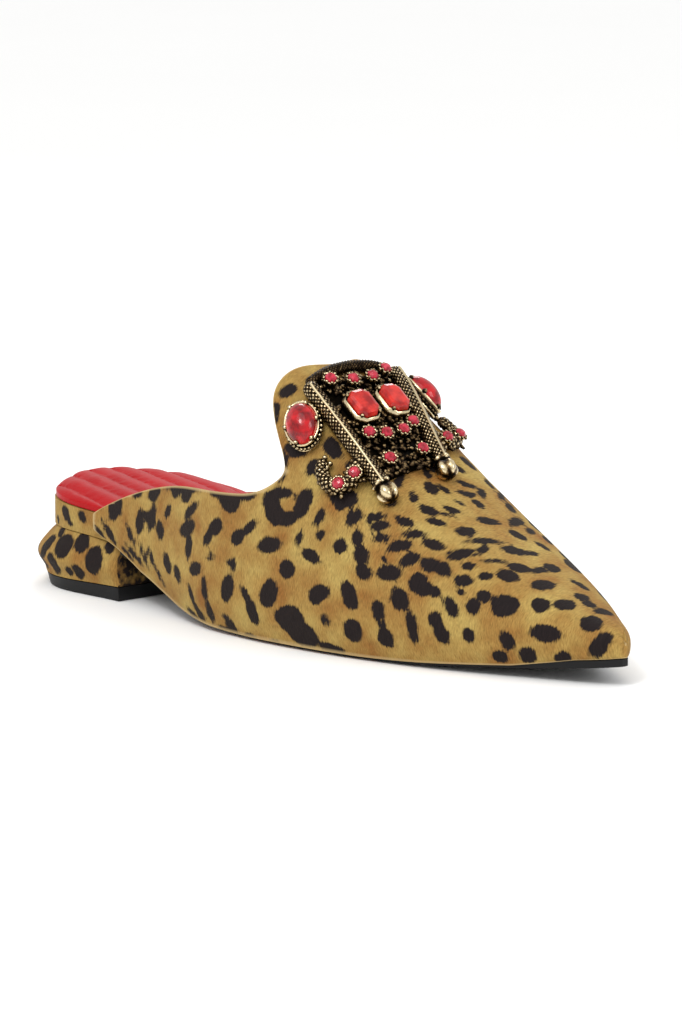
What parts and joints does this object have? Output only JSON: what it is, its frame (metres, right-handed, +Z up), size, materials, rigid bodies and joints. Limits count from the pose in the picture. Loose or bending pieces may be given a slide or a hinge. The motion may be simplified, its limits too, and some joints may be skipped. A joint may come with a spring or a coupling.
{
  "type": "mule",
  "caption": "Flat pointed-toe slip-on mule in spotted calf hair, with a tall tab, a gold brooch set with red stones, a quilted red sock and a low flared block heel.",
  "frame": {"origin": "on the floor, below the middle of the shoe's length and width", "axes": "+X to the toe, +Y to the wearer's left (the inner side of this right shoe), +Z up"},
  "size_m": [0.2716, 0.0824, 0.0893],
  "materials": {
    "calf_hair": "short matt hair with a dark spotted print",
    "red_leather": "soft satin, quilted",
    "outsole": "black, satin edge",
    "top_lift": "black, matt",
    "old_gold": "antique gold with dark recesses",
    "red_stone": "glossy red resin stone"
  },
  "bodies": {
    "root": {"outsole": "outsole", "top_lift": "top_lift", "heel": "calf_hair", "footbed": "calf_hair", "sock": "red_leather", "upper": "calf_hair", "brooch_frame": "old_gold", "cabochon_lateral": "red_stone", "baguette_lateral": "red_stone", "cabochon_medial": "red_stone", "baguette_medial": "red_stone", "stone_lateral_1": "red_stone", "stone_lateral_2": "red_stone", "stone_lateral_3": "red_stone", "stone_lateral_4": "red_stone", "stone_lateral_5": "red_stone", "stone_lateral_6": "red_stone", "stone_lateral_7": "red_stone", "stone_medial_1": "red_stone", "stone_medial_2": "red_stone", "stone_medial_3": "red_stone", "stone_medial_4": "red_stone", "stone_medial_5": "red_stone", "stone_medial_6": "red_stone", "stone_medial_7": "red_stone"}
  },
  "joints": []
}
